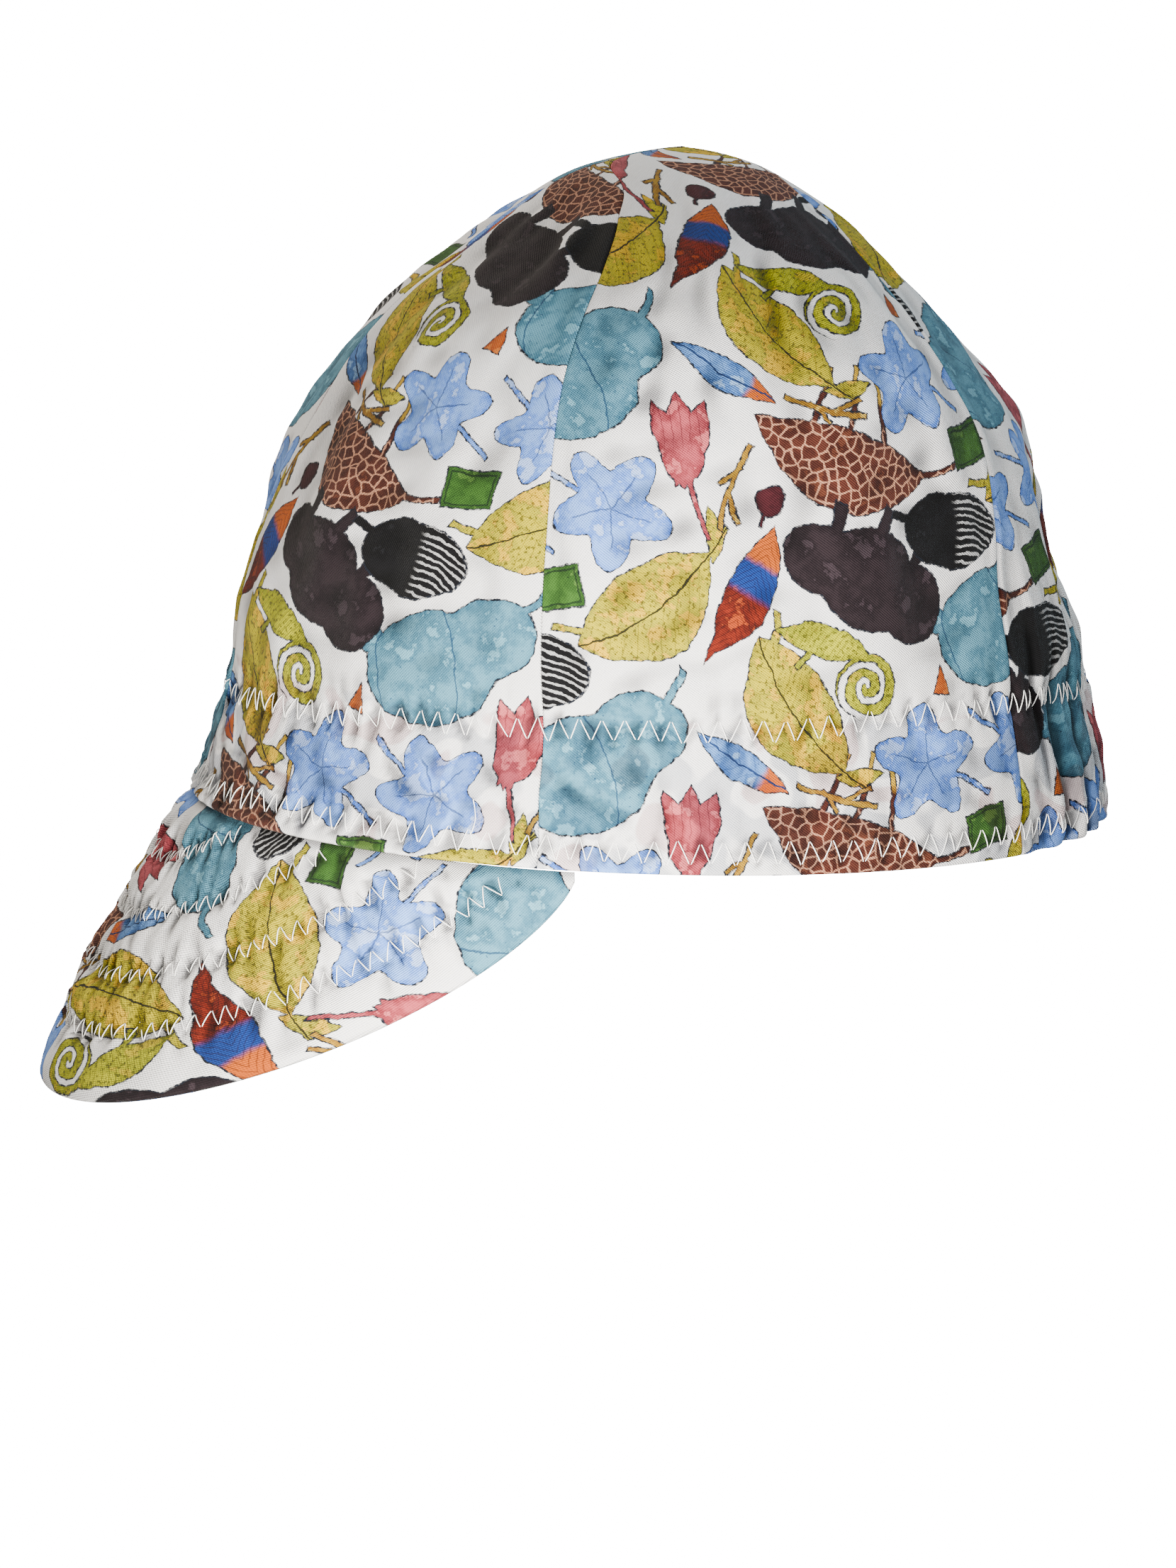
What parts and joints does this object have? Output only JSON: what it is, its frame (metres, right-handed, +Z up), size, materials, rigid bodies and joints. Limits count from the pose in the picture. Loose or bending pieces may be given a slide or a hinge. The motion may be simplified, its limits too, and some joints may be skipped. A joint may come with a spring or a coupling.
{
  "type": "welding cap",
  "caption": "Soft cotton welding cap: a deep panelled crown gathered at the rear, and a short stitched bill sloping steeply down in front. Keeps sparks off the scalp and neck.",
  "frame": {"origin": "middle of the head opening, on the plane of the crown's hem, where the cap sits on a head", "axes": "+Z up through the crown; the bill points to -Y; the wearer's left is +X"},
  "size_m": [0.1662, 0.2344, 0.2043],
  "materials": {
    "crown_cotton": "fine white cotton twill printed all over with small watercolour leaves, pods, petals and pebbles",
    "bill_cotton": "the same printed cotton, quilted onto an interlining by rows of stitching",
    "thread": "glossy white sewing thread in zig-zag rows"
  },
  "bodies": {
    "root": {"panel_front_left": "crown_cotton", "panel_front_right": "crown_cotton", "panel_side_left": "crown_cotton", "panel_side_right": "crown_cotton", "panel_rear_left": "crown_cotton", "panel_rear_right": "crown_cotton", "bill_upper": "bill_cotton", "bill_under": "bill_cotton"}
  },
  "joints": []
}
